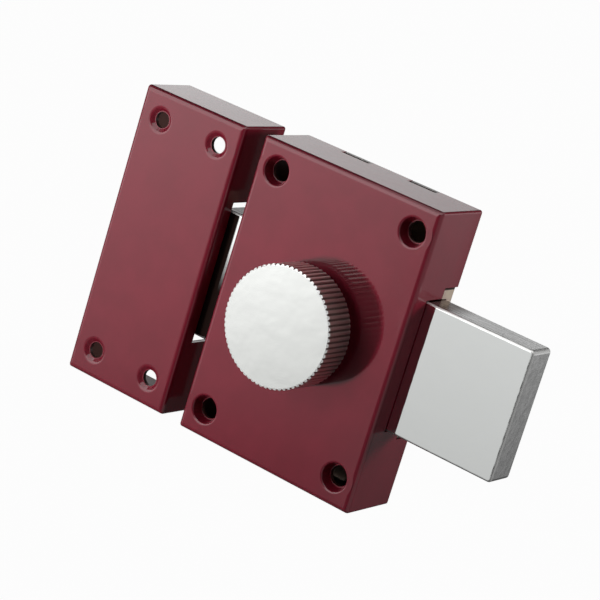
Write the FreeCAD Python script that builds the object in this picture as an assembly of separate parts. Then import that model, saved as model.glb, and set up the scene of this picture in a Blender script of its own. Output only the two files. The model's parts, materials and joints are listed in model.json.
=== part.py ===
# Knob door bolt: a flat bolt that runs through a folded steel case, with its box keeper.
# A knurled knob turns a pinion, and the pinion drives a rack cut in the bolt's window.
# X runs across the door along the bolt's travel, Y goes back into the door, Z is up.
# The origin is on the mounting plane, straight behind the knob's axis. Units are millimetres.
import FreeCAD, Part
import math
import os

V = FreeCAD.Vector

# Bolt: a flat chromed bar, a little lower than the knob's axis
bolt_height = 43.3
bolt_thickness = 11.5
bolt_edge_radius = 0.8
bolt_corner_radius = 1.4
bolt_drop = 0.8
bolt_tail = 39.25
bolt_entry = 3.65
throw_travel = 13.75
window_clearance = 0.5
window_corner_radius = 2.0

# Room for the bolt: behind it, and from its front to the front of the case and of the keeper
bolt_back_space = 5.3
case_front_space = 8.1
keeper_front_space = 6.2

# Case: a folded steel cover, open at the back
case_width = 68.5
case_height = 100.0
sheet = 1.5
fold_radius = 1.8
rim_radius = 0.4
seam_radius = 0.8
slot_front_clearance = 0.5
slot_side_clearance = 0.4

# Pressed screw seats of the case, set in from its sides and ends
case_screw_inset_x = 8.0
case_screw_inset_z = 9.2
case_seat_diameter = 9.4
case_seat_floor_diameter = 7.2
case_seat_depth = 3.6
case_seat_shoulder = 0.8
case_hole_diameter = 6.8
screw_hole_diameter = 5.8

# Keeper: a box of the same sheet, beside the case and a little lower
keeper_gap = 8.6
keeper_width = 41.4
keeper_height = 99.6
keeper_drop = 0.55
keeper_slot_margin = 2.7
keeper_screw_inset_x = 8.95
keeper_screw_inset_z = 9.3
keeper_seat_diameter = 8.4
keeper_seat_floor_diameter = 5.9
keeper_seat_depth = 1.2
keeper_seat_shoulder = 1.3
keeper_hole_diameter = 5.4

# Rack and pinion
gear_module = 1.0
pinion_teeth = 12
pressure_angle = math.radians(20.0)
rack_addendum = 0.7 * gear_module
pinion_addendum = 1.0 * gear_module
root_clearance = 0.25 * gear_module
flank_clearance = 0.1
flank_points = 5

# Spindle
square_size = 5.0
square_overhang = 0.2
journal_diameter = 9.0
collar_diameter = 13.0
collar_thickness = 1.5
collar_clearance = 0.45
knob_seat_diameter = 8.0
knob_seat_flat = 0.8
spindle_end_gap = 0.6

# Fits: round the turning pieces, and between their ends
running_clearance = 0.05
end_clearance = 0.15
face_clearance = 0.05

# Knob
knob_diameter = 39.0
knob_gap = 3.4
knob_grip_length = 12.7
knob_front_bevel = 0.42
knob_rear_bevel = 0.9
knob_boss_diameter = 20.0
knob_face_thickness = 2.9
knurl_count = 70
knurl_depth = 0.6
knurl_land_share = 0.35
grub_diameter = 4.0
grub_length = 7.0
grub_socket = 2.0
grub_socket_depth = 2.4
grub_angle = 240.0
grub_from_face = 8.0

# Front bush with its nut and washers
bush_wall = 1.5
bush_flange_reach = 2.5
bush_flange_height = 1.3
bush_flange_bevel = 0.4
nut_across_flats = 17.0
nut_height = 2.8
nut_bevel = 0.8
lock_washer_diameter = 17.5
lock_washer_thickness = 0.8
lock_washer_teeth = 16
lock_washer_notch = 1.2
thrust_washer_diameter = 14.0
thrust_washer_thickness = 0.5
wave_washer_diameter = 15.0
wave_washer_thickness = 0.35
wave_washer_clearance = 0.3
wave_washer_space = 1.2

# Back plate, with wings that fold forward in the case's slots
plate_thickness = 2.0
plate_clearance = 0.2
plate_fold_radius = 2.4
ear_height = 2.6
ear_reach = 3.4
tab_width = 10.0
tab_span = 26.0
notch_depth = 3.8
notch_clearance = 0.3
seat_clearance = 0.2

# Rear bush and retaining clip
rear_bush_wall = 2.0
rear_flange_reach = 1.75
rear_flange_height = 3.0
clip_thickness = 0.7
clip_groove_depth = 0.6
clip_groove_play = 0.03
clip_reach = 2.0
clip_band = 1.3
clip_lug_width = 1.8
clip_lug_angle = 100.0
clip_snap = 0.4
clip_back_gap = 0.55

# Guide rails of folded sheet
rail_end_gap = 3.15
rail_sheet = 1.5
rail_fold_radius = 1.6
rail_lip = 5.0
rail_foot = 9.3
rail_clearance = 0.2

# Rivets
rivet_diameter = 4.0
rivet_head_diameter = 7.0
rivet_head_height = 1.4
rivet_inset = 9.0
rivet_sink_diameter = 5.6
rivet_sink_depth = 0.9

# Leaf spring and stop stud, set in from the bolt's long edges
spring_width = 7.0
spring_thickness = 0.5
spring_foot = 8.0
spring_foot_radius = 2.3
spring_chord = 32.0
spring_inset = 7.0
spring_shift = 2.0
spring_gap = 0.15
stud_diameter = 5.0
stud_bevel = 0.4
stud_inset = 7.0
stud_tip_gap = 0.5
groove_depth = 3.5
groove_clearance = 0.3
stop_gap = 0.15

# How far a cutter stands out of what it cuts, and how closely an edge is picked by its place
overcut = 1.0
pick = 0.01

# Places that follow from the sizes, from the mounting plane forward
plate_face = -plate_thickness
bolt_back_y = -bolt_back_space
bolt_front_y = bolt_back_y - bolt_thickness
slot_front_y = bolt_front_y - slot_front_clearance
ear_front_y = bolt_back_y - ear_height
case_front = bolt_front_y - case_front_space
case_inside = case_front + sheet
keeper_front = bolt_front_y - keeper_front_space
collar_back_y = bolt_front_y - collar_clearance
collar_front_y = collar_back_y - collar_thickness
thrust_back_y = collar_front_y - face_clearance
thrust_front_y = thrust_back_y - thrust_washer_thickness
bush_end_y = thrust_front_y - end_clearance
bush_front_y = case_front - bush_flange_height
boss_back_y = bush_front_y - wave_washer_space
knob_back_y = case_front - knob_gap
knob_face_y = knob_back_y - knob_grip_length
knob_bore_y = knob_face_y + knob_face_thickness
grub_y = knob_face_y + grub_from_face
rear_flange_y = plate_face - rear_flange_height
clip_back_y = rear_flange_y - clip_back_gap
clip_front_y = clip_back_y - clip_thickness
pinion_front_y = collar_back_y + end_clearance
pinion_back_y = clip_front_y - end_clearance
square_end_y = clip_back_y + square_overhang

# Places that follow from the sizes, across the door and up it
case_left = -case_width / 2
case_right = case_width / 2
keeper_right = case_left - keeper_gap
keeper_left = keeper_right - keeper_width
keeper_low = -keeper_height / 2 - keeper_drop
bolt_right = case_right + bolt_tail
bolt_left = keeper_right - bolt_entry
retract_travel = keeper_gap + bolt_entry
bolt_z = -bolt_drop
half_bolt = bolt_height / 2
wing_x = case_right - seat_clearance / 2
rail_end_x = wing_x - plate_thickness - rail_end_gap
spring_z = bolt_z - half_bolt + spring_inset
stud_z = bolt_z + half_bolt - stud_inset
spring_rivet_place = (spring_shift - spring_chord / 2 - spring_foot / 2, spring_z)

# Diameters and radii that follow
bush_diameter = journal_diameter + 2 * bush_wall
bush_flange_diameter = bush_diameter + 2 * bush_flange_reach
rear_bush_diameter = square_size + 2 * rear_bush_wall
rear_flange_diameter = rear_bush_diameter + 2 * rear_flange_reach
clip_groove_diameter = square_size - 2 * clip_groove_depth
clip_diameter = square_size + 2 * clip_reach
pitch_radius = gear_module * pinion_teeth / 2
tip_radius = pitch_radius + pinion_addendum
root_radius = pitch_radius - rack_addendum - root_clearance
tooth_pitch = math.pi * gear_module


def block(x0, x1, y0, y1, z0, z1):
    return Part.makeBox(x1 - x0, y1 - y0, z1 - z0, V(x0, y0, z0))


def rod(radius, y0, y1, x=0.0, z=0.0):
    return Part.makeCylinder(radius, y1 - y0, V(x, y0, z), V(0, 1, 0))


def turned(outline, x=0.0, z=0.0):
    """A solid turned about an axis along Y, from (radius, y) points."""
    corners = [V(x + radius, y, z) for radius, y in outline]
    face = Part.Face(Part.makePolygon(corners + corners[:1]))
    return face.revolve(V(x, 0, z), V(0, 1, 0), 360)


def prism(outline, y0, y1):
    """A straight solid along Y, from (x, z) points."""
    corners = [V(x, y0, z) for x, z in outline]
    face = Part.Face(Part.makePolygon(corners + corners[:1]))
    return face.extrude(V(0, y1 - y0, 0))


def bow(chord, rise, thickness, width, crest):
    """A strip bent forward about a line along Z. Its crest lies at the given (x, y, z)."""
    bend = (chord ** 2 / 4 + rise ** 2) / (2 * rise)
    centre = V(crest[0], crest[1] + bend + thickness, crest[2] - width / 2)
    outer = Part.makeCylinder(bend + thickness, width, centre, V(0, 0, 1))
    inner = Part.makeCylinder(bend, width, centre, V(0, 0, 1))
    return outer.cut(inner), inner


def slot_block(x0, x1, radius, y0, y1, z):
    """A slot cutter with round ends, whose end centres lie at x0 and x1."""
    middle = block(x0, x1, y0, y1, z - radius, z + radius)
    return middle.fuse([rod(radius, y0, y1, x0, z), rod(radius, y0, y1, x1, z)]).removeSplitter()


def hexagon(across_flats):
    across_corners = across_flats / math.sqrt(3)
    angles = [math.radians(60 * side) for side in range(6)]
    return [(across_corners * math.cos(angle), across_corners * math.sin(angle)) for angle in angles]


def edges_where(shape, test):
    return [edge for edge in shape.Edges if test(edge.BoundBox)]


def corners_of(span_x, span_z, x=0.0, z=0.0):
    return [(x + sx * span_x / 2, z + sz * span_z / 2) for sx in (-1, 1) for sz in (-1, 1)]


def case_screw_places():
    return corners_of(case_width - 2 * case_screw_inset_x, case_height - 2 * case_screw_inset_z)


def keeper_screw_places():
    spans = (keeper_width - 2 * keeper_screw_inset_x, keeper_height - 2 * keeper_screw_inset_z)
    return corners_of(*spans, (keeper_left + keeper_right) / 2, -keeper_drop)


def tab_centres():
    return [-tab_span / 2, tab_span / 2]


def folded_box(x0, x1, z0, z1, front):
    """A box of folded sheet, open at the back, with round folds, ground seams and a smooth rim."""
    outside = block(x0, x1, front, 0, z0, z1)
    seams = edges_where(outside, lambda box: box.YLength > -front - pick)
    outside = outside.makeFillet(seam_radius, seams)
    folds = edges_where(outside, lambda box: box.YMax < front + pick)
    outside = outside.makeFillet(fold_radius, folds)
    rim = edges_where(outside, lambda box: box.YMin > -pick)
    outside = outside.makeFillet(rim_radius, rim)
    inside = block(x0 + sheet, x1 - sheet, front + sheet, overcut, z0 + sheet, z1 - sheet)
    return outside.cut(inside)


def press_seats(shell, front, places, top_diameter, floor_diameter, depth, shoulder, hole):
    """Presses a sunk seat with a screw hole into the front sheet at each place."""
    top = top_diameter / 2
    floor = floor_diameter / 2
    slope = (top - floor) / depth
    side = sheet * math.hypot(1.0, slope)
    rim = top + side + shoulder
    outline = [
        (rim, front),
        (top, front),
        (floor, front + depth),
        (hole / 2, front + depth),
        (hole / 2, front + depth + sheet),
        (floor - slope * sheet + side, front + depth + sheet),
        (top - slope * sheet + side, front + sheet),
        (rim, front + sheet),
    ]

    def is_lip(box):
        return box.YMax < front + pick and abs(box.XLength - top_diameter) < pick

    for x, z in places:
        seat = turned(outline, x, z)
        lip = edges_where(seat, is_lip)
        seat = seat.makeFillet(shoulder, lip)
        shell = shell.cut(rod(rim, front - overcut, front + sheet + overcut, x, z)).fuse(seat)
    return shell.removeSplitter()


def make_case():
    shell = folded_box(case_left, case_right, -case_height / 2, case_height / 2, case_front)
    left = case_left - overcut
    right = case_right + overcut
    half_slot = half_bolt + slot_side_clearance
    half_ear = half_bolt + seat_clearance + ear_reach + notch_clearance
    slots = block(left, right, slot_front_y, overcut, bolt_z - half_slot, bolt_z + half_slot)
    ear_slots = block(
        left, right, ear_front_y - notch_clearance, overcut, bolt_z - half_ear, bolt_z + half_ear,
    )
    shell = shell.cut([slots, ear_slots])
    half_notch = tab_width / 2 + notch_clearance
    for x in tab_centres():
        for wall in (-case_height / 2, case_height / 2):
            notch = block(
                x - half_notch, x + half_notch, -notch_depth, overcut, wall - 2 * sheet, wall + 2 * sheet,
            )
            shell = shell.cut(notch)
    bush_hole = rod(bush_diameter / 2 + running_clearance, case_front - overcut, case_inside + overcut)
    return press_seats(
        shell.cut(bush_hole), case_front, case_screw_places(), case_seat_diameter,
        case_seat_floor_diameter, case_seat_depth, case_seat_shoulder, case_hole_diameter,
    )


def make_keeper():
    shell = folded_box(keeper_left, keeper_right, keeper_low, keeper_low + keeper_height, keeper_front)
    half_slot = half_bolt + keeper_slot_margin
    slot = block(
        keeper_right - 2 * sheet, keeper_right + overcut, slot_front_y, overcut,
        bolt_z - half_slot, bolt_z + half_slot,
    )
    return press_seats(
        shell.cut(slot), keeper_front, keeper_screw_places(), keeper_seat_diameter,
        keeper_seat_floor_diameter, keeper_seat_depth, keeper_seat_shoulder, keeper_hole_diameter,
    )


def rack_gap(x):
    """The space between two rack teeth, from above their tips down to their roots."""
    half_gap = tooth_pitch / 4 + flank_clearance
    lean = math.tan(pressure_angle)
    above = rack_addendum + overcut * gear_module
    below = -pinion_addendum - root_clearance
    half_top = half_gap + above * lean
    half_root = half_gap + below * lean
    outline = [
        (x - half_top, above - pitch_radius), (x + half_top, above - pitch_radius),
        (x + half_root, below - pitch_radius), (x - half_root, below - pitch_radius),
    ]
    return prism(outline, bolt_front_y - overcut, bolt_back_y + overcut)


def make_bolt():
    """A bar with rounded edges, the rack's window through it and a stop groove in its back."""
    bar = block(bolt_left, bolt_right, bolt_front_y, bolt_back_y, bolt_z - half_bolt, bolt_z + half_bolt)
    ends = edges_where(bar, lambda box: box.YLength > bolt_thickness - pick)
    bar = bar.makeFillet(bolt_corner_radius, ends)
    rims = edges_where(bar, lambda box: box.YLength < pick)
    bar = bar.makeFillet(bolt_edge_radius, rims)
    reach = tip_radius + window_clearance
    window_left = -retract_travel - reach
    window_right = throw_travel + reach
    window = block(
        window_left, window_right, bolt_front_y - overcut, bolt_back_y + overcut,
        rack_addendum - pitch_radius, reach,
    )
    corners = edges_where(window, lambda box: box.YLength > bolt_thickness and box.ZMin > 0)
    bar = bar.cut(window.makeFillet(window_corner_radius, corners))
    first = math.ceil(window_left / tooth_pitch + 0.5)
    last = math.floor(window_right / tooth_pitch - 0.5)
    gaps = [rack_gap(index * tooth_pitch) for index in range(first, last + 1)]
    groove = slot_block(
        -retract_travel - stop_gap + groove_clearance, throw_travel + stop_gap - groove_clearance,
        stud_diameter / 2 + groove_clearance, bolt_back_y - groove_depth, bolt_back_y + overcut, stud_z,
    )
    return bar.cut(gaps + [groove])


def involute_turn(radius, base):
    """How far an involute has swept round when it has grown from its base circle to a radius."""
    roll = math.sqrt(max((radius / base) ** 2 - 1, 0.0))
    return roll - math.atan(roll)


def smooth_edge(points):
    curve = Part.BSplineCurve()
    curve.interpolate(points)
    return curve.toShape()


def make_pinion():
    """Involute teeth round a square bore. One tooth points down, into the rack."""
    base = pitch_radius * math.cos(pressure_angle)
    half_tooth = (tooth_pitch / 4 - flank_clearance) / pitch_radius
    half_base = half_tooth + involute_turn(pitch_radius, base)
    step = 2 * math.pi / pinion_teeth
    radii = [base + (tip_radius - base) * index / (flank_points - 1) for index in range(flank_points)]

    def place(radius, angle):
        return V(radius * math.sin(angle), pinion_front_y, -radius * math.cos(angle))

    edges = []
    for tooth in range(pinion_teeth):
        middle = tooth * step
        turns = [half_base - involute_turn(radius, base) for radius in radii]
        rising = [place(radius, middle - turn) for radius, turn in zip(radii, turns)]
        falling = [place(radius, middle + turn) for radius, turn in zip(radii, turns)]
        root_in = place(root_radius, middle - half_base)
        root_out = place(root_radius, middle + half_base)
        root_next = place(root_radius, middle + step - half_base)
        edges.append(Part.makeLine(root_in, rising[0]))
        edges.append(smooth_edge(rising))
        edges.append(Part.Arc(rising[-1], place(tip_radius, middle), falling[-1]).toShape())
        edges.append(smooth_edge(falling))
        edges.append(Part.makeLine(falling[0], root_out))
        edges.append(Part.Arc(root_out, place(root_radius, middle + step / 2), root_next).toShape())
    outline = Part.Wire(Part.__sortEdges__(edges))
    blank = Part.Face(outline).extrude(V(0, pinion_back_y - pinion_front_y, 0))
    half = square_size / 2 + running_clearance
    return blank.cut(block(-half, half, pinion_front_y - overcut, pinion_back_y + overcut, -half, half))


def make_spindle():
    """Knob seat with a flat, journal, collar, square for the pinion, and a grooved tail."""
    seat_front = knob_bore_y + end_clearance
    journal_front = boss_back_y + end_clearance
    half = square_size / 2
    seat = rod(knob_seat_diameter / 2, seat_front, journal_front)
    flat = block(
        knob_seat_diameter / 2 - knob_seat_flat, knob_seat_diameter, seat_front - overcut, boss_back_y,
        -knob_seat_diameter, knob_seat_diameter,
    )
    flat.rotate(V(0, 0, 0), V(0, 1, 0), -grub_angle)
    body = seat.cut(flat).fuse([
        rod(journal_diameter / 2, journal_front, collar_front_y),
        rod(collar_diameter / 2, collar_front_y, collar_back_y),
        block(-half, half, collar_back_y, square_end_y, -half, half),
        rod(half, square_end_y, -spindle_end_gap),
    ]).removeSplitter()
    groove = rod(square_size, clip_front_y, clip_back_y)
    return body.cut(groove.cut(rod(clip_groove_diameter / 2, clip_front_y, clip_back_y)))


def knurl_outline():
    """One turn of straight knurling: a flat-topped ridge and a V groove in each pitch."""
    tip = knob_diameter / 2
    step = 2 * math.pi / knurl_count
    half_land = step * knurl_land_share / 2
    outline = []
    for ridge in range(knurl_count):
        middle = ridge * step
        for radius, angle in (
            (tip, middle - half_land),
            (tip, middle + half_land),
            (tip - knurl_depth, middle + step / 2),
        ):
            outline.append((radius * math.cos(angle), radius * math.sin(angle)))
    return outline


def grub_bar(radius, start, end):
    """A round bar on the grub screw's axis, between two distances from the knob's axis."""
    return Part.makeCylinder(radius, end - start, V(start, grub_y, 0), V(1, 0, 0))


def turn_to_grub(shape):
    shape.rotate(V(0, 0, 0), V(0, 1, 0), -grub_angle)
    return shape


def make_knob():
    tip = knob_diameter / 2
    front_slope = knob_front_bevel / knurl_depth
    blank = turned([
        (0, knob_face_y),
        (tip - knurl_depth, knob_face_y),
        (tip + overcut, knob_face_y + knob_front_bevel + overcut * front_slope),
        (tip + overcut, knob_back_y - knob_rear_bevel - overcut),
        (tip - knob_rear_bevel, knob_back_y),
        (0, knob_back_y),
    ])
    grip = prism(knurl_outline(), knob_face_y - overcut, knob_back_y + overcut).common(blank)
    knob = grip.fuse(rod(knob_boss_diameter / 2, knob_back_y, boss_back_y))
    bore = rod(knob_seat_diameter / 2 + running_clearance, knob_bore_y, boss_back_y + overcut)
    return knob.cut([bore, turn_to_grub(grub_bar(grub_diameter / 2, 0, knob_diameter))])


def make_grub_screw():
    start = knob_seat_diameter / 2 - knob_seat_flat
    end = start + grub_length
    screw = grub_bar(grub_diameter / 2 - running_clearance, start, end)
    corners = [V(end - grub_socket_depth, grub_y + y, z) for y, z in hexagon(grub_socket)]
    socket = Part.Face(Part.makePolygon(corners + corners[:1])).extrude(V(grub_length, 0, 0))
    return turn_to_grub(screw.cut(socket))


def make_front_bush():
    bore = journal_diameter / 2 + running_clearance
    flange = bush_flange_diameter / 2
    return turned([
        (bore, bush_front_y),
        (flange - bush_flange_bevel, bush_front_y),
        (flange, bush_front_y + bush_flange_bevel),
        (flange, case_front),
        (bush_diameter / 2, case_front),
        (bush_diameter / 2, bush_end_y),
        (bore, bush_end_y),
    ])


def make_lock_washer():
    back = case_inside + lock_washer_thickness
    rim = lock_washer_diameter / 2
    ring = rod(rim, case_inside, back)
    cuts = [rod(bush_diameter / 2 + running_clearance, case_inside - overcut, back + overcut)]
    half = lock_washer_notch / 2
    for tooth in range(lock_washer_teeth):
        notch = block(
            rim - lock_washer_notch, rim + overcut, case_inside - overcut, back + overcut, -half, half,
        )
        notch.rotate(V(0, 0, 0), V(0, 1, 0), tooth * 360.0 / lock_washer_teeth)
        cuts.append(notch)
    return ring.cut(cuts)


def make_bush_nut():
    front = case_inside + lock_washer_thickness
    back = front + nut_height
    cone = nut_across_flats
    blank = turned([
        (0, front),
        (cone, front),
        (cone, back - nut_bevel),
        (nut_across_flats / 2, back),
        (0, back),
    ])
    nut = prism(hexagon(nut_across_flats), front, back).common(blank)
    return nut.cut(rod(bush_diameter / 2 + running_clearance, front - overcut, back + overcut))


def make_thrust_washer():
    ring = rod(thrust_washer_diameter / 2, thrust_front_y, thrust_back_y)
    bore = journal_diameter / 2 + running_clearance
    return ring.cut(rod(bore, thrust_front_y - overcut, thrust_back_y + overcut))


def make_wave_washer():
    """A round washer bent about one line, so it bears on its middle and on its two edges."""
    front = boss_back_y + face_clearance
    back = bush_front_y - face_clearance
    rise = back - front - wave_washer_thickness
    size = wave_washer_diameter
    strip, _ = bow(size, rise, wave_washer_thickness, size, (0, front, 0))
    ring = rod(size / 2, front, back)
    bore = journal_diameter / 2 + wave_washer_clearance
    return strip.common(ring.cut(rod(bore, front - overcut, back + overcut)))


def sunk_shank(x, z, clearance):
    """A rivet's shank through the back plate, spread into a countersink at the back."""
    shank = rivet_diameter / 2 + clearance
    sink = rivet_sink_diameter / 2 + clearance
    return turned([
        (0, plate_face),
        (shank, plate_face),
        (shank, -rivet_sink_depth),
        (sink, clearance - face_clearance),
        (0, clearance - face_clearance),
    ], x, z)


def rail_rivet_places():
    web = half_bolt + rail_clearance + rail_sheet
    span_z = 2 * web + rail_foot
    return corners_of(2 * (rail_end_x - rivet_inset), span_z, 0.0, bolt_z)


def make_back_plate():
    """A flat plate with tabs for the case's notches, and a wing folded forward at each side."""
    half_x = case_right - sheet - plate_clearance
    half_z = case_height / 2 - sheet - plate_clearance
    tab_end = case_height / 2 - seat_clearance / 2
    plate = block(-half_x, half_x, plate_face, 0, -half_z, half_z)
    tabs = [
        block(x - tab_width / 2, x + tab_width / 2, plate_face, 0, -tab_end, tab_end)
        for x in tab_centres()
    ]
    half_passage = half_bolt + seat_clearance
    half_wing = half_passage + ear_reach
    low = bolt_z - half_wing
    high = bolt_z + half_wing
    channel = block(-wing_x, wing_x, ear_front_y, 0, low, high)
    folds = edges_where(channel, lambda box: box.ZLength > half_wing and box.YMin > -pick)
    channel = channel.makeFillet(plate_fold_radius, folds)
    inner_x = wing_x - plate_thickness
    trough = block(-inner_x, inner_x, ear_front_y - overcut, plate_face, low - overcut, high + overcut)
    folds = edges_where(trough, lambda box: box.ZLength > half_wing and box.YMin > plate_face - pick)
    trough = trough.makeFillet(plate_fold_radius - plate_thickness, folds)
    plate = plate.fuse(tabs + [channel.cut(trough)]).removeSplitter()
    passage = block(
        -wing_x - overcut, wing_x + overcut, ear_front_y - overcut, bolt_back_y + seat_clearance,
        bolt_z - half_passage, bolt_z + half_passage,
    )
    screw_hole = screw_hole_diameter / 2
    holes = [rod(screw_hole, plate_face - overcut, overcut, x, z) for x, z in case_screw_places()]
    holes.append(rod(rear_bush_diameter / 2, plate_face - overcut, overcut))
    for x, z in rail_rivet_places() + [spring_rivet_place, (0, stud_z)]:
        holes.append(sunk_shank(x, z, running_clearance))
    return plate.cut([passage] + holes)


def rivet(x, z, grip):
    """A rivet with a low domed head that clamps sheet of the given thickness to the plate."""
    back = plate_face - grip
    front = back - rivet_head_height
    half = rivet_head_diameter / 2
    dome = (half ** 2 + rivet_head_height ** 2) / (2 * rivet_head_height)
    ball = Part.makeSphere(dome, V(x, front + dome, z))
    head = ball.common(rod(half, front, back, x, z))
    return head.fuse([rod(rivet_diameter / 2, back, plate_face, x, z), sunk_shank(x, z, 0)]).removeSplitter()


def make_rail(side):
    """A Z-section rail: foot on the plate, web along the bolt's edge, lip over its front."""
    web_in = half_bolt + rail_clearance
    web_out = web_in + rail_sheet
    foot_end = web_out + rail_foot
    foot_front = plate_face - rail_sheet
    lip_back = bolt_front_y - rail_clearance
    lip_front = lip_back - rail_sheet
    lip_end = web_out - rail_lip
    outline = [
        (plate_face, web_in), (plate_face, foot_end), (foot_front, foot_end), (foot_front, web_out),
        (lip_front, web_out), (lip_front, lip_end), (lip_back, lip_end), (lip_back, web_in),
    ]
    corners = [V(-rail_end_x, y, bolt_z + side * z) for y, z in outline]
    rail = Part.Face(Part.makePolygon(corners + corners[:1])).extrude(V(2 * rail_end_x, 0, 0))

    def is_fold(box):
        for y, z in ((lip_front, web_out), (plate_face, web_in)):
            if abs(box.YMax - y) < pick and abs(box.ZMax - bolt_z - side * z) < pick:
                return box.XLength > rail_end_x
        return False

    rail = rail.makeFillet(rail_fold_radius, edges_where(rail, is_fold))
    shank = rivet_diameter / 2 + running_clearance
    holes = [rod(shank, foot_front - overcut, overcut, x, z) for x, z in rail_rivet_places()]
    return rail.cut(holes)


def make_friction_spring():
    """A leaf with a flat foot under its rivet and one long bow that drags on the bolt's back."""
    crest = bolt_back_y + spring_gap
    rise = plate_face - crest - spring_thickness
    low = spring_z - spring_width / 2
    high = spring_z + spring_width / 2
    start = spring_shift - spring_chord / 2
    end = spring_shift + spring_chord / 2
    strip, hollow = bow(spring_chord, rise, spring_thickness, spring_width, (spring_shift, crest, spring_z))
    arch = strip.common(block(start, end, crest - overcut, plate_face, low, high))
    foot = block(start - spring_foot, start + overcut, plate_face - spring_thickness, plate_face, low, high)
    corners = edges_where(foot, lambda box: box.YLength > spring_thickness / 2 and box.XMax < start)
    foot = foot.makeFillet(spring_foot_radius, corners).cut(hollow)
    shank = rivet_diameter / 2 + running_clearance
    hole = rod(shank, plate_face - spring_thickness - overcut, overcut, *spring_rivet_place)
    return arch.fuse(foot).removeSplitter().cut(hole)


def make_stop_stud():
    """A stud riveted into the plate, whose tip ends the bolt's travel in the groove."""
    tip = bolt_back_y - groove_depth + stud_tip_gap
    half = stud_diameter / 2
    post = turned([
        (0, tip),
        (half - stud_bevel, tip),
        (half, tip + stud_bevel),
        (half, plate_face),
        (0, plate_face),
    ], 0, stud_z)
    return post.fuse(sunk_shank(0, stud_z, 0)).removeSplitter()


def make_rear_bush():
    bore = square_size / 2 + running_clearance
    return turned([
        (bore, rear_flange_y),
        (rear_flange_diameter / 2, rear_flange_y),
        (rear_flange_diameter / 2, plate_face),
        (rear_bush_diameter / 2, plate_face),
        (rear_bush_diameter / 2, -end_clearance),
        (bore, -end_clearance),
    ])


def make_retaining_clip():
    """An E-shaped clip: a ring open on one side, with three lugs that reach into the groove."""
    front = clip_front_y + clip_groove_play
    back = clip_back_y - clip_groove_play
    rim = clip_diameter / 2
    seat = clip_groove_diameter / 2 + running_clearance
    half_mouth = clip_groove_diameter / 2 - clip_snap / 2
    half_lug = clip_lug_width / 2
    ring = rod(rim, front, back).cut(rod(rim - clip_band, front - overcut, back + overcut))
    lugs = []
    for angle in (-clip_lug_angle, 0.0, clip_lug_angle):
        lug = block(-rim + clip_band / 2, 0, front, back, -half_lug, half_lug)
        lug.rotate(V(0, 0, 0), V(0, 1, 0), angle)
        lugs.append(lug)
    mouth = block(0, clip_diameter, front - overcut, back + overcut, -half_mouth, half_mouth)
    return ring.fuse(lugs).removeSplitter().cut([rod(seat, front - overcut, back + overcut), mouth])


nodes = {
    "case": make_case(),
    "back_plate": make_back_plate(),
    "keeper": make_keeper(),
    "bolt": make_bolt(),
    "knob": make_knob(),
    "grub_screw": make_grub_screw(),
    "wave_washer": make_wave_washer(),
    "front_bush": make_front_bush(),
    "lock_washer": make_lock_washer(),
    "bush_nut": make_bush_nut(),
    "thrust_washer": make_thrust_washer(),
    "spindle": make_spindle(),
    "pinion": make_pinion(),
    "retaining_clip": make_retaining_clip(),
    "rear_bush": make_rear_bush(),
    "upper_rail": make_rail(1),
    "lower_rail": make_rail(-1),
    "rail_rivets": Part.makeCompound([rivet(x, z, rail_sheet) for x, z in rail_rivet_places()]),
    "friction_spring": make_friction_spring(),
    "spring_rivet": rivet(*spring_rivet_place, spring_thickness),
    "stop_stud": make_stop_stud(),
}

os.makedirs("parts", exist_ok=True)
for name, shape in nodes.items():
    print(name, "solids", len(shape.Solids), "valid", shape.isValid(), "volume", round(shape.Volume, 1))
    shape.exportStep("parts/" + name + ".step")
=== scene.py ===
import json
import math

import bpy
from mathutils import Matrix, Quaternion, Vector

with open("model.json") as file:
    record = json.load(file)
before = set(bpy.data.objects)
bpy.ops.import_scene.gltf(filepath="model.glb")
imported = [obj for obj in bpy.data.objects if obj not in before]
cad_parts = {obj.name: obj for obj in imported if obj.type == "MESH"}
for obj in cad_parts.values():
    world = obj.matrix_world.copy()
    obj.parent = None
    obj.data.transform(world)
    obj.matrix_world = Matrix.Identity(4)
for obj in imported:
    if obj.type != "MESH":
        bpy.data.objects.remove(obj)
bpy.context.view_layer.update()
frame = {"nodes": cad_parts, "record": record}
nodes = frame["nodes"]
print("frame loaded:", len(nodes), "nodes")


class Wire:
    # one output of a node, so that sums of outputs read as plain Python

    def __init__(self, finish, socket):
        self.finish = finish
        self.socket = socket

    def maths(self, operation, *values):
        return self.finish.node("ShaderNodeMath", {"operation": operation}, dict(enumerate(values)))

    def __add__(self, other):
        return self.maths("ADD", self, other)

    def __radd__(self, other):
        return self.maths("ADD", other, self)

    def __sub__(self, other):
        return self.maths("SUBTRACT", self, other)

    def __rsub__(self, other):
        return self.maths("SUBTRACT", other, self)

    def __mul__(self, other):
        return self.maths("MULTIPLY", self, other)

    def __rmul__(self, other):
        return self.maths("MULTIPLY", other, self)

    def __truediv__(self, other):
        return self.maths("DIVIDE", self, other)

    def __rtruediv__(self, other):
        return self.maths("DIVIDE", other, self)

    def __pow__(self, other):
        return self.maths("POWER", self, other)

    def __rpow__(self, other):
        return self.maths("POWER", other, self)

    def __abs__(self):
        return self.maths("ABSOLUTE", self)

    def highest(self, other):
        return self.maths("MAXIMUM", self, other)

    def lowest(self, other):
        return self.maths("MINIMUM", self, other)

    def sine(self):
        return self.maths("SINE", self)

    def step(self, start, end, low=0.0, high=1.0):
        # a smooth change from low to high, as the value goes from start to end
        settings = {"interpolation_type": "SMOOTHSTEP"}
        return self.finish.node("ShaderNodeMapRange", settings, {0: self, 1: start, 2: end, 3: low, 4: high})


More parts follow.
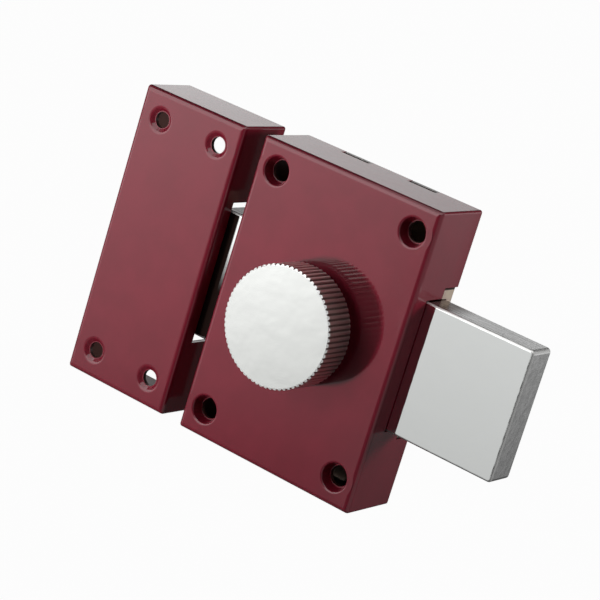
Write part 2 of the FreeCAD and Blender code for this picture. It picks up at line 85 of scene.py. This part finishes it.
class Finish:
    # the node tree of a material or of the world

    def __init__(self, tree, outputKind):
        self.tree = tree
        tree.nodes.clear()
        self.output = tree.nodes.new(outputKind)

    def node(self, kind, settings=None, sockets=None, output=0):
        made = self.tree.nodes.new(kind)
        for name, value in (settings or {}).items():
            setattr(made, name, value)
        for name, value in (sockets or {}).items():
            self.fill(made.inputs[name], value)
        return Wire(self, made.outputs[output])

    def fill(self, socket, value):
        if isinstance(value, Wire):
            self.tree.links.new(value.socket, socket)
        elif isinstance(value, tuple) and socket.type == "RGBA":
            socket.default_value = (*value, 1.0)
        else:
            socket.default_value = value

    def place(self):
        return self.node("ShaderNodeTexCoord", output="Object")

    def facing(self):
        return self.node("ShaderNodeTexCoord", output="Normal")

    def axis(self, vector, letter):
        return self.node("ShaderNodeSeparateXYZ", None, {0: vector}, letter)

    def stretched(self, vector, scale):
        return self.node("ShaderNodeVectorMath", {"operation": "MULTIPLY"}, {0: vector, 1: scale})

    def noise(self, vector, size, detail=2.0, roughness=0.5):
        # size is the width of a blotch, in metres
        sockets = {"Vector": vector, "Scale": 1.0 / size, "Detail": detail, "Roughness": roughness}
        return self.node("ShaderNodeTexNoise", {"noise_dimensions": "3D"}, sockets, "Fac")

    def blotches(self, vector, size, detail=2.0, roughness=0.5):
        # noise with its middle greys spread out
        return self.noise(vector, size, detail, roughness).step(0.3, 0.7)

    def blend(self, amount, first, second):
        settings = {"data_type": "RGBA", "blend_type": "MIX"}
        return self.node("ShaderNodeMix", settings, {0: amount, 6: first, 7: second}, 2)

    def bump(self, height, depth=1.0):
        # depth is how far a height of 1 stands out, in metres
        return self.node("ShaderNodeBump", None, {"Height": height, "Distance": depth})

    def emit(self, colour, strength):
        return self.node("ShaderNodeEmission", None, {"Color": colour, "Strength": strength})

    def show(self, shader):
        self.tree.links.new(shader.socket, self.output.inputs["Surface"])

    def surface(self, sockets):
        self.show(self.node("ShaderNodeBsdfPrincipled", {"distribution": "GGX"}, sockets))


def newFinish(name):
    material = bpy.data.materials.new(name)
    material.use_nodes = True
    return material, Finish(material.node_tree, "ShaderNodeOutputMaterial")


def heading(azimuth, elevation):
    # the direction from the object towards a place, azimuth 0 in front of it and growing to the right
    turn = math.radians(azimuth)
    rise = math.radians(elevation)
    return Vector((math.sin(turn) * math.cos(rise), -math.cos(turn) * math.cos(rise), math.sin(rise)))


def nodeBox(name):
    corners = [nodes[name].matrix_world @ Vector(corner) for corner in nodes[name].bound_box]
    return [Vector([pick(corner[i] for corner in corners) for i in range(3)]) for pick in (min, max)]


def meshObject(name, points, faces):
    mesh = bpy.data.meshes.new(name)
    mesh.from_pydata(points, [], faces)
    mesh.update()
    made = bpy.data.objects.new(name, mesh)
    bpy.context.scene.collection.objects.link(made)
    return made


# camera: where it stood for the photograph, in degrees, metres and pixels
view = {
    "azimuth": 30.4815,
    "elevation": 14.7523,
    "roll": 17.1923,
    "aim": (-0.01377, -0.008014, 0.001268),
    "distance": 0.758372,
    "focalPixels": 2372.03,
    "imagePixels": 600.0,
    "middleX": 301.02,
    "middleY": 299.88,
    "sensor": 36.0,
}


def makeCamera():
    data = bpy.data.cameras.new("photoCamera")
    data.sensor_width = view["sensor"]
    data.lens = view["focalPixels"] * view["sensor"] / view["imagePixels"]
    data.shift_x = (view["imagePixels"] / 2 - view["middleX"]) / view["imagePixels"]
    data.shift_y = (view["middleY"] - view["imagePixels"] / 2) / view["imagePixels"]
    camera = bpy.data.objects.new("photoCamera", data)
    back = heading(view["azimuth"], view["elevation"])
    roll = Quaternion((0, 0, 1), math.radians(view["roll"]))
    camera.rotation_mode = "QUATERNION"
    camera.rotation_quaternion = back.to_track_quat("Z", "Y") @ roll
    camera.location = Vector(view["aim"]) + back * view["distance"]
    bpy.context.scene.collection.objects.link(camera)
    bpy.context.scene.camera = camera


makeCamera()
print("camera placed")


# studio: white world and floor, lamps, and a shell of soft panels that only shows in reflections
studio = {
    "whiteStrength": 1.0,
    "roomStrength": 0.09,
    "floorZ": -0.60,
    "floorHalf": 12.0,
    "floorColour": (0.8, 0.8, 0.8),
    "floorGlow": 0.905,
    "shellRadius": 0.5,
    "shellRings": 48,
    "leastCover": 0.001,
}
lamps = {
    "keyLamp": {"azimuth": -23.5, "elevation": -11.5, "distance": 0.70, "aim": (-0.060, -0.025, 0.055),
                "cone": 32.0, "radius": 0.035, "power": 13.6},
    "fillLamp": {"azimuth": -26.0, "elevation": 22.0, "distance": 0.70, "aim": (-0.056, -0.025, 0.062),
                 "cone": 33.0, "radius": 0.30, "power": 17.2},
    "rearLamp": {"azimuth": 118.0, "elevation": 16.0, "distance": 0.60, "aim": (0.034, -0.014, 0.090),
                 "cone": 44.0, "radius": 0.10, "power": 9.3},
}
# each panel is painted over the ones before it; degrees, azimuth 0 in front of the object
panels = {
    "underside": {"azimuth": (-180.0, 180.0), "elevation": (-95.0, -44.0), "soft": 5.0, "level": 0.12},
    "farLeft": {"azimuth": (-155.0, -72.0), "elevation": (-44.0, 40.0), "soft": 6.0, "level": 0.2},
    "sideCard": {"azimuth": (50.0, 118.0), "elevation": (-38.0, 40.0), "soft": 5.0, "level": 0.45},
    "ceiling": {"azimuth": (-46.0, 60.0), "elevation": (38.0, 95.0), "soft": 6.0, "level": 2.1},
    "frontDark": {"azimuth": (-4.0, 48.0), "elevation": (-38.0, 38.0), "soft": 5.0, "level": 0.10},
    "softbox": {"azimuth": (-66.0, -6.0), "elevation": (-36.0, 47.0), "soft": 4.0, "level": 0.93,
                "perAzimuth": -0.0218, "perElevation": 0.053, "least": 0.30, "most": 2.6},
    "lowCard": {"azimuth": (-70.0, -21.0), "elevation": (-40.0, -25.0), "soft": 6.0, "level": 0.33},
    "boltCard": {"azimuth": (-22.0, -10.0), "elevation": (-30.0, -10.0), "soft": 4.0, "level": 0.828,
                 "perAzimuth": 0.0, "perElevation": 0.0194, "least": 0.3, "most": 0.8},
    "rearCard": {"azimuth": (118.0, 152.0), "elevation": (-40.0, 6.0), "soft": 2.0, "level": 0.650,
                 "perAzimuth": 0.0, "perElevation": 0.063, "least": 0.12, "most": 0.8},
    "rearDark": {"azimuth": (150.3, 235.0), "elevation": (-40.0, -4.0), "soft": 1.2, "level": 0.06},
    "rearWall": {"azimuth": (150.0, 204.0), "elevation": (2.0, 20.0), "soft": 1.5, "level": 0.60},
    "rearLeft": {"azimuth": (204.0, 232.0), "elevation": (2.0, 20.0), "soft": 1.0, "level": 14.8,
                 "perAzimuth": 0.0188, "perElevation": 0.0, "least": 0.7, "most": 1.13},
    "rearBand": {"azimuth": (150.0, 285.0), "elevation": (23.0, 62.0), "soft": 3.0, "level": 0.05},
}


def backgroundRays(finish):
    # 1 for rays that go to the camera or into metal and glass, 0 for light on the object
    kinds = ("Is Camera Ray", "Is Glossy Ray", "Is Transmission Ray")
    seen = [finish.node("ShaderNodeLightPath", output=kind) for kind in kinds]
    return seen[0].highest(seen[1]).highest(seen[2])


def makeWorld():
    world = bpy.data.worlds.new("whiteRoom")
    bpy.context.scene.world = world
    world.use_nodes = True
    finish = Finish(world.node_tree, "ShaderNodeOutputWorld")
    shown = backgroundRays(finish)
    strength = studio["roomStrength"] + shown * (studio["whiteStrength"] - studio["roomStrength"])
    finish.show(finish.node("ShaderNodeBackground", None, {"Color": (1.0, 1.0, 1.0), "Strength": strength}))


def makeFloor():
    half = studio["floorHalf"]
    corners = [(-half, -half), (half, -half), (half, half), (-half, half)]
    floor = meshObject("floor", [(x, y, studio["floorZ"]) for x, y in corners], [(0, 1, 2, 3)])
    material, finish = newFinish("paleFloor")
    shown = backgroundRays(finish)
    matte = finish.node("ShaderNodeBsdfDiffuse", None, {"Color": studio["floorColour"]})
    glow = finish.emit((1.0, 1.0, 1.0), shown * studio["floorGlow"])
    finish.show(finish.node("ShaderNodeAddShader", None, {0: matte, 1: glow}))
    floor.data.materials.append(material)


def makeLamp(name, setting):
    # a soft spot: strongest where it is aimed, fading to nothing at the edge of its cone
    data = bpy.data.lights.new(name, "SPOT")
    data.shadow_soft_size = setting["radius"]
    data.energy = setting["power"]
    data.spot_size = math.radians(setting["cone"])
    data.spot_blend = 1.0
    lamp = bpy.data.objects.new(name, data)
    lamp.location = heading(setting["azimuth"], setting["elevation"]) * setting["distance"]
    lamp.rotation_mode = "QUATERNION"
    lamp.rotation_quaternion = (lamp.location - Vector(setting["aim"])).to_track_quat("Z", "Y")
    lamp.visible_camera = False
    lamp.visible_glossy = False
    bpy.context.scene.collection.objects.link(lamp)


def panelMask(azimuth, elevation, panel):
    # 1 inside the panel, falling to 0 over its soft edge
    left, right = panel["azimuth"]
    low, high = panel["elevation"]
    turned = azimuth - (left + right) / 2
    raised = elevation - (low + high) / 2
    across = abs(turned.maths("WRAP", turned, 180.0, -180.0))
    inWidth = across.step((right - left) / 2, (right - left) / 2 + panel["soft"], 1.0, 0.0)
    inHeight = abs(raised).step((high - low) / 2, (high - low) / 2 + panel["soft"], 1.0, 0.0)
    return inWidth * inHeight


def panelLevel(azimuth, elevation, panel):
    # one brightness, or one that grows by a share of itself with each degree
    if "least" not in panel:
        return panel["level"]
    power = azimuth * panel["perAzimuth"] + elevation * panel["perElevation"]
    return (math.e ** power * panel["level"]).highest(panel["least"]).lowest(panel["most"])


def shellMesh(name):
    radius = studio["shellRadius"]
    rings = studio["shellRings"]
    sides = 2 * rings
    points = []
    faces = []
    for i in range(rings + 1):
        for j in range(sides):
            points.append(heading(180.0 * j / rings, 90.0 - 180.0 * i / rings) * radius)
    for i in range(rings):
        for j in range(sides):
            k = (j + 1) % sides
            row = sides * i
            faces.append((row + j, row + k, row + sides + k, row + sides + j))
    return meshObject(name, points, faces)


def makeShell():
    shell = shellMesh("reflectionShell")
    material, finish = newFinish("softPanels")
    place = finish.place()
    across, depth, rise = (finish.axis(place, letter) for letter in "XYZ")
    azimuth = across.maths("ARCTAN2", across, depth * -1.0) * math.degrees(1.0)
    flat = (across * across + depth * depth) ** 0.5
    elevation = rise.maths("ARCTAN2", rise, flat) * math.degrees(1.0)
    level = 0.0
    cover = 0.0
    for panel in panels.values():
        mask = panelMask(azimuth, elevation, panel)
        level = mask * panelLevel(azimuth, elevation, panel) + (1 - mask) * level
        cover = mask.highest(cover)
    clear = finish.node("ShaderNodeBsdfTransparent")
    glow = finish.emit((1.0, 1.0, 1.0), level / cover.highest(studio["leastCover"]))
    finish.show(finish.node("ShaderNodeMixShader", None, {0: cover, 1: clear, 2: glow}))
    shell.data.materials.append(material)
    shell.visible_camera = False
    shell.visible_diffuse = False
    shell.visible_transmission = False
    shell.visible_shadow = False


makeWorld()
makeFloor()
makeShell()
for name, setting in lamps.items():
    makeLamp(name, setting)
print("studio lit")


# finishes, in metres; a pair of numbers is where a mask starts and ends, for Facing as a part of the normal
paint = {
    "colour": (0.194, 0.0080, 0.0228),
    "deepColour": (0.172, 0.0068, 0.0198),
    "patchSize": 0.012,
    "swellSize": 0.0034,
    "swellDepth": 0.000034,
    "peelSize": 0.0011,
    "peelDepth": 0.000008,
    "grainSize": 0.00035,
    "grainDepth": 0.0000024,
    "roughness": 0.42,
    "roughnessSpread": 0.05,
    "specular": 0.1,
    "coatRoughness": 0.05,
    "coatIor": 1.5,
    # inner side of the folded sheet
    "innerColour": (0.090, 0.040, 0.034),
    "innerSkin": (0.0006, 0.0012),
    "innerFacing": (-0.15, -0.02),
    "innerLostCoat": 0.8,
    # strip of the case's right wall in front of the bolt, where the coat is taken off as painted shade
    "stripX": (0.0339, 0.0341),
    "stripY": (-0.0168, -0.0174),
    "stripMiddle": -0.0008,
    "stripHalf": (0.0219, 0.0213),
    "stripShadeLostCoat": 0.8,
}


def underSkin(finish, part):
    # 1 on the inner side of a folded box, 0 on its outside and in its pressed seats
    low, high = nodeBox(part)
    middle = (low + high) / 2
    half = (high - low) / 2
    place = finish.place()
    across = half.x - abs(finish.axis(place, "X") - middle.x)
    rise = half.z - abs(finish.axis(place, "Z") - middle.z)
    inward = across.lowest(rise).lowest(finish.axis(place, "Y") - low.y)
    return inward.step(*paint["innerSkin"]) * finish.axis(finish.facing(), "Y").step(*paint["innerFacing"])


def shadeBesideBolt(finish):
    # 1 on the strip beside the bolt, where losing the coat stands in as painted shade, 0 on the rest of the
    # case
    place = finish.place()
    height = abs(finish.axis(place, "Z") - paint["stripMiddle"]).step(*paint["stripHalf"])
    across = finish.axis(place, "X").step(*paint["stripX"])
    return across * height * finish.axis(place, "Y").step(*paint["stripY"])


def burgundyPaint(name, part):
    # gloss paint with soft swells and orange peel, thin and brownish inside the folded sheet
    material, finish = newFinish(name)
    place = finish.place()
    patches = finish.blotches(place, paint["patchSize"], detail=4.0, roughness=0.6)
    swell = finish.noise(place, paint["swellSize"])
    peel = finish.noise(place, paint["peelSize"], detail=1.0)
    grain = finish.noise(place, paint["grainSize"], detail=1.0)
    height = swell * paint["swellDepth"] + peel * paint["peelDepth"] + grain * paint["grainDepth"]
    inner = underSkin(finish, part)
    outside = finish.blend(patches, paint["deepColour"], paint["colour"])
    coat = 1 - inner * paint["innerLostCoat"]
    # painted shade: no coat on the strip beside the bolt
    if part == "case":
        coat = coat * (1 - shadeBesideBolt(finish) * paint["stripShadeLostCoat"])
    finish.surface({
        "Base Color": finish.blend(inner, outside, paint["innerColour"]),
        "Roughness": patches * paint["roughnessSpread"] + (paint["roughness"] - paint["roughnessSpread"] / 2),
        "Specular IOR Level": paint["specular"],
        "Coat Weight": coat,
        "Coat Roughness": paint["coatRoughness"],
        "Coat IOR": paint["coatIor"],
        "Normal": finish.bump(height),
    })
    return material


chrome = {
    "broadColour": (0.925, 0.945, 0.93),
    "broadFacing": (0.95, 0.995),
    "broadRoughness": 0.045,
    "specular": 0.04,
    "swellSize": 0.009,
    "swellDepth": 0.000035,
    # edges and ends
    "endColour": (1.00, 1.00, 0.995),
    "darkEndColour": (0.84, 0.845, 0.84),
    "endRoughness": 0.25,
    "endDepth": 0.00003,
    "mottleSize": 0.0028,
    "drawnSize": 0.0012,
    "drawnStretch": (0.06, 1.0, 1.0),
    "topFacing": (0.6, 0.9),
    # rounded corners
    "wornColour": (0.60, 0.60, 0.59),
    "wornRoughness": 0.45,
    "flatFacing": (0.93, 0.99),
    # painted shade on the front of the head, where it sits in the gap by the keeper: down its left part and
    # its lower half
    "headShadeColour": (0.010, 0.005, 0.004),
    "headShadeFacing": (-0.5, -0.9),
    "headShadeX": (-0.0340, -0.0355),
    "headShadeLeftX": (-0.0392, -0.0397),
    "headShadeLowZ": (0.014, -0.006),
    # painted shade on the top face, fading in from just right of the case; on the head it is as dark as the
    # head's front
    "topShadeColour": (0.10, 0.07, 0.06),
    "topShadeX": (0.0485, 0.0390),
    "headTopShadeX": (-0.0335, -0.0350),
}


def boltChrome():
    # plated bright on the broad faces, duller on the sawn edges and ends, with painted shade on the head and
    # on the top face beside the case
    material, finish = newFinish("boltChrome")
    place = finish.place()
    across = finish.axis(place, "X")
    rise = finish.axis(place, "Z")
    faceX, faceY, faceZ = (finish.axis(finish.facing(), letter) for letter in "XYZ")
    edge = 1 - abs(faceY).step(*chrome["broadFacing"])
    worn = 1 - abs(faceX).highest(abs(faceY)).highest(abs(faceZ)).step(*chrome["flatFacing"])

    mottle = finish.blotches(place, chrome["mottleSize"], detail=4.0, roughness=0.6)
    drawn = finish.blotches(finish.stretched(place, chrome["drawnStretch"]), chrome["drawnSize"])
    drawnSide = abs(faceZ).step(*chrome["topFacing"])
    marks = drawnSide * drawn + (1 - drawnSide) * mottle
    swell = finish.noise(place, chrome["swellSize"])
    height = swell * chrome["swellDepth"] + marks * edge * chrome["endDepth"]

    # painted shade: the head's front in the gap is near black and not metallic
    headShadeSpread = across.step(*chrome["headShadeLeftX"]).highest(rise.step(*chrome["headShadeLowZ"]))
    headShade = headShadeSpread * across.step(*chrome["headShadeX"]) * faceY.step(*chrome["headShadeFacing"]) * (1 - edge)
    # painted shade on the top face beside the case wall, darkest on the head
    topShade = faceZ.step(*chrome["topFacing"]) * across.step(*chrome["topShadeX"])
    headTopShade = across.step(*chrome["headTopShadeX"])
    topShadeTone = finish.blend(headTopShade, chrome["topShadeColour"], chrome["headShadeColour"])

    dull = finish.blend(marks, chrome["darkEndColour"], chrome["endColour"])
    dullWithShade = finish.blend(topShade, dull, topShadeTone)
    plated = finish.blend(edge, chrome["broadColour"], finish.blend(worn, dullWithShade, chrome["wornColour"]))
    rough = edge * (chrome["endRoughness"] - chrome["broadRoughness"]) + chrome["broadRoughness"]
    finish.surface({
        "Base Color": finish.blend(headShade, plated, chrome["headShadeColour"]),
        "Metallic": 1 - headShade,
        "Specular IOR Level": chrome["specular"],
        "Roughness": rough.highest(worn * chrome["wornRoughness"]).highest(headShade * chrome["wornRoughness"]),
        "Normal": finish.bump(height),
    })
    return material


knobLook = {
    "colour": (0.945, 0.96, 0.935),
    "faceFacing": (0.90, 0.97),
    "faceRoughness": 0.13,
    "ringSize": 0.00045,
    "ringDepth": 0.0000008,
    "cloudSize": 0.007,
    "cloudDepth": 0.00007,
    "smearSize": 0.006,
    "smearSpread": 0.06,
    # knurled side, with painted shade in the grooves
    "sideColour": (0.66, 0.62, 0.58),
    "sideFacing": (0.50, 0.70),
    "sideMetallic": 0.90,
    "sideRoughness": 0.30,
    "grooveShadeColour": (0.26, 0.23, 0.21),
    "grooveRadius": (0.01945, 0.01905),
    # bevel between face and side, pale and half matt as a painted highlight all round
    "rimHighlightColour": (0.95, 0.95, 0.93),
    "rimMetallic": 0.30,
    "rimRoughness": 0.40,
}


def turnedAluminium():
    # polished face with faint turning rings and soft clouds, pale half matt rim as a painted highlight,
    # duller knurled side with painted shade in its grooves
    material, finish = newFinish("turnedAluminium")
    place = finish.place()
    across = finish.axis(place, "X")
    rise = finish.axis(place, "Z")
    radius = (across * across + rise * rise) ** 0.5
    outward = abs(finish.axis(finish.facing(), "Y"))
    face = outward.step(*knobLook["faceFacing"])
    side = 1 - outward.step(*knobLook["sideFacing"])
    rim = 1 - face - side

    rings = (radius * (2 * math.pi / knobLook["ringSize"])).sine()
    clouds = finish.noise(place, knobLook["cloudSize"])
    height = (rings * knobLook["ringDepth"] + clouds * knobLook["cloudDepth"]) * face
    smear = finish.noise(place, knobLook["smearSize"], detail=3.0)
    rough = smear * knobLook["smearSpread"] + (knobLook["faceRoughness"] - knobLook["smearSpread"] / 2)
    rough = rough + side * (knobLook["sideRoughness"] - knobLook["faceRoughness"])
    rough = rough + rim * (knobLook["rimRoughness"] - knobLook["faceRoughness"])

    # painted shade in the knurl grooves
    grooveShade = radius.step(*knobLook["grooveRadius"])
    knurled = finish.blend(grooveShade, knobLook["sideColour"], knobLook["grooveShadeColour"])
    # the pale rim is a painted highlight
    outer = finish.blend(rim, knobLook["colour"], knobLook["rimHighlightColour"])
    finish.surface({
        "Base Color": finish.blend(side, outer, knurled),
        "Metallic": 1 - side * (1 - knobLook["sideMetallic"]) - rim * (1 - knobLook["rimMetallic"]),
        "Roughness": rough,
        "Normal": finish.bump(height),
    })
    return material


metals = {
    "yellow_zinc": {
        "colour": (0.86, 0.72, 0.55), "blotchColour": (0.78, 0.62, 0.52), "blotchSize": 0.004,
        "metallic": 0.6, "roughness": 0.42,
        "grainStretch": (1.0, 1.0, 0.15), "grainSize": 0.0006, "grainDepth": 0.000004,
    },
    "bright_zinc": {
        "colour": (0.60, 0.62, 0.64), "blotchColour": (0.52, 0.55, 0.60), "blotchSize": 0.003,
        "metallic": 1.0, "roughness": 0.28,
        "grainStretch": (1.0, 1.0, 1.0), "grainSize": 0.0004, "grainDepth": 0.000004,
    },
    "bush_brass": {
        "colour": (0.72, 0.52, 0.22), "blotchColour": (0.60, 0.42, 0.18), "blotchSize": 0.003,
        "metallic": 1.0, "roughness": 0.26,
        "grainStretch": (1.0, 0.1, 1.0), "grainSize": 0.0003, "grainDepth": 0.000004,
    },
    "turned_steel": {
        "colour": (0.50, 0.51, 0.52), "blotchColour": (0.40, 0.40, 0.41), "blotchSize": 0.004,
        "metallic": 1.0, "roughness": 0.30,
        "grainStretch": (1.0, 0.1, 1.0), "grainSize": 0.0004, "grainDepth": 0.000004,
    },
    "dark_steel": {
        "colour": (0.07, 0.07, 0.075), "blotchColour": (0.10, 0.09, 0.085), "blotchSize": 0.002,
        "metallic": 1.0, "roughness": 0.40,
        "grainStretch": (1.0, 1.0, 1.0), "grainSize": 0.0003, "grainDepth": 0.000003,
    },
    "spring_steel": {
        "colour": (0.30, 0.32, 0.36), "blotchColour": (0.36, 0.33, 0.30), "blotchSize": 0.004,
        "metallic": 1.0, "roughness": 0.30,
        "grainStretch": (0.1, 1.0, 1.0), "grainSize": 0.0003, "grainDepth": 0.000003,
    },
}
metalUnevenness = 0.1  # how much blotches and grain each add to a metal's roughness


def plainMetal(name, look, marked=None):
    # zinc, brass and steel: a base colour with blotches, a fine grain and an uneven polish
    material, finish = newFinish(name)
    place = finish.place()
    blotches = finish.blotches(place, look["blotchSize"], detail=3.0, roughness=0.55)
    grain = finish.noise(finish.stretched(place, look["grainStretch"]), look["grainSize"])
    colour = finish.blend(blotches, look["colour"], look["blotchColour"])
    uneven = blotches * metalUnevenness + grain * metalUnevenness
    finish.surface({
        "Base Color": marked(finish, colour) if marked else colour,
        "Metallic": look["metallic"],
        "Roughness": uneven + (look["roughness"] - metalUnevenness),
        "Normal": finish.bump(grain, look["grainDepth"]),
    })
    return material


# painted light on the back plate: pale tab tops as a painted highlight, painted shade in front of the tabs
# and along the ears' edges
platePaintedLight = {
    "tabHighlightColour": (0.60, 0.58, 0.57),
    "tabHeight": (0.0488, 0.0490),
    "plateShadeColour": (0.05, 0.035, 0.03),
    "tabShadeY": (-0.0018, -0.0020),
    "earSide": (0.0335, 0.0337),
    "earMiddle": -0.0008,
    "earHeight": (0.0247, 0.0249),
}


def paintPlateLight(finish, zinc):
    # the tabs' tops are pale as a painted highlight, with painted shade in front; the ears' edges carry
    # painted shade
    place = finish.place()
    across, depth, rise = (finish.axis(place, letter) for letter in "XYZ")
    tab = abs(rise).step(*platePaintedLight["tabHeight"])
    tabFrontShade = tab * depth.step(*platePaintedLight["tabShadeY"])
    fromBolt = abs(rise - platePaintedLight["earMiddle"])
    earShade = abs(across).step(*platePaintedLight["earSide"]) * fromBolt.step(*platePaintedLight["earHeight"])
    litTabs = finish.blend(tab, zinc, platePaintedLight["tabHighlightColour"])
    return finish.blend(tabFrontShade.highest(earShade), litTabs, platePaintedLight["plateShadeColour"])


slotFinishes = {name: plainMetal(name, look) for name, look in metals.items()}
slotFinishes["bolt_chrome"] = boltChrome()
slotFinishes["knob_aluminium"] = turnedAluminium()
nodeFinishes = {
    "case": burgundyPaint("burgundyPaintCase", "case"),
    "keeper": burgundyPaint("burgundyPaintKeeper", "keeper"),
    "back_plate": plainMetal("backPlateZinc", metals["yellow_zinc"], paintPlateLight),
}
for part in frame["record"]["subparts"]:
    name = part["node"]
    given = nodeFinishes[name] if name in nodeFinishes else slotFinishes[part["material_slot"]]
    for holder in nodes[name].material_slots:
        holder.material = given
print("finishes given:", len(slotFinishes) + len(nodeFinishes))

bpy.context.scene.view_settings.view_transform = "Standard"
